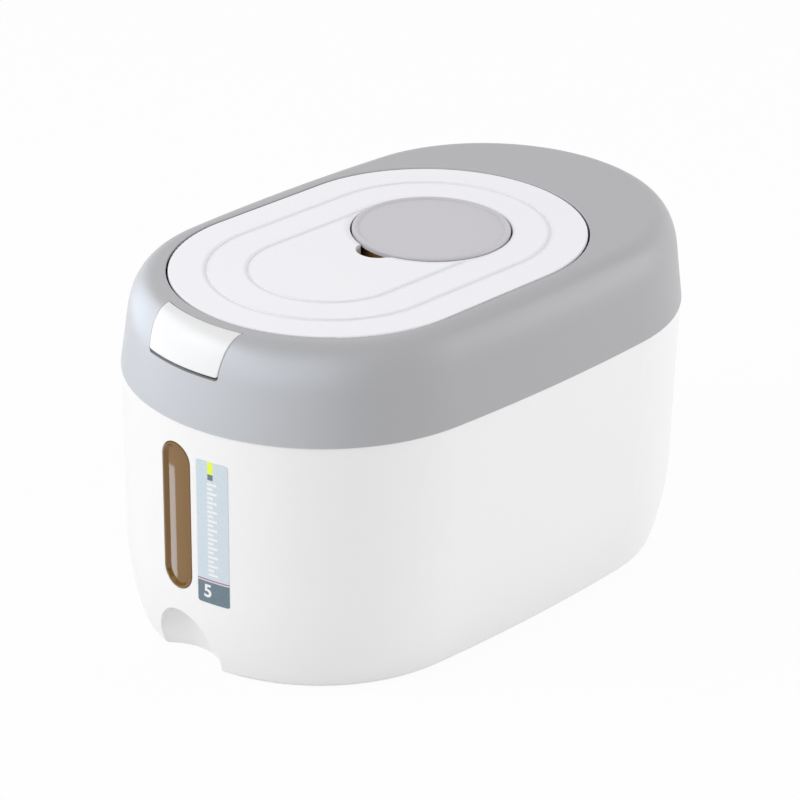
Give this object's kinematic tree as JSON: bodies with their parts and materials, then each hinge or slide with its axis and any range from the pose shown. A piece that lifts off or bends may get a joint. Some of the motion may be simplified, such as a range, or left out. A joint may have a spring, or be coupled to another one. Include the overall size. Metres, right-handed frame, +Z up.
{
  "type": "rice storage bin",
  "caption": "Oval lidded grain bin with a lift-off domed collar, a sprung flap lid with rocker button, a nested measuring cup and a front sight window.",
  "frame": {"origin": "on the ground under the middle of the plan", "axes": "+Z up, +Y towards the back, so the button end faces -Y and +X is the right-hand side seen from the front"},
  "size_m": [0.195, 0.3118, 0.178],
  "materials": {
    "white_body": "satin white moulding",
    "white_lid": "fine matt white moulding",
    "white_button": "polished white moulding",
    "white_inner": "plain white moulding",
    "grey_collar": "satin light grey moulding",
    "grey_disc": "fine matt light grey moulding",
    "tinted_clear": "clear brown tinted moulding",
    "label_film": "printed film with plain marks",
    "seal_rubber": "soft translucent white",
    "foot_rubber": "soft grey",
    "steel": "plain steel",
    "tablet_mineral": "dry pressed mineral"
  },
  "bodies": {
    "bin": {"bin_shell": "white_body", "rubber_feet": "foot_rubber", "window_pane": "tinted_clear", "window_seal": "seal_rubber", "gauge_sticker": "label_film"},
    "collar": {"collar_cover": "grey_collar", "collar_frame": "white_inner", "throat_ring": "white_inner", "collar_seal": "seal_rubber", "collar_screws": "steel", "hinge_pin_right": "steel", "hinge_pin_left": "steel", "hinge_spring_right": "steel", "hinge_spring_left": "steel", "button_pivot_pin": "steel", "button_spring": "steel"},
    "lid": {"lid_panel": "white_lid", "lid_liner": "white_inner", "cup_well": "tinted_clear", "capsule_socket": "white_inner", "lid_catch": "white_inner", "hinge_arm_right": "white_inner", "hinge_arm_left": "white_inner", "lid_seal": "seal_rubber"},
    "button": {"press_button": "white_button", "latch_arm": "white_inner"},
    "cup": {"measuring_cup": "tinted_clear", "cup_disc": "grey_disc"},
    "capsule": {"capsule_case": "white_inner", "drying_tablet": "tablet_mineral"}
  },
  "joints": [
    {"name": "collar_lift", "type": "slide", "parent": "bin", "child": "collar", "axis": [0, 0, 1], "range_m": [0, 0.08]},
    {"name": "lid_hinge", "type": "hinge", "parent": "collar", "child": "lid", "pos_m": [0, 0.104, 0.1715], "axis": [-1, 0, 0], "range_deg": [0, 85]},
    {"name": "button_press", "type": "hinge", "parent": "collar", "child": "button", "pos_m": [0, -0.1368, 0.1705], "axis": [1, 0, 0], "range_deg": [0, 4], "stiffness_Nm_per_rad": 0.6, "springref_deg": -2.86, "deforming": ["button_spring"]},
    {"name": "cup_lift", "type": "slide", "parent": "lid", "child": "cup", "axis": [0, 0, 1], "range_m": [0, 0.06]},
    {"name": "capsule_drop", "type": "slide", "parent": "lid", "child": "capsule", "axis": [0, 0, -1], "range_m": [0, 0.025]}
  ]
}
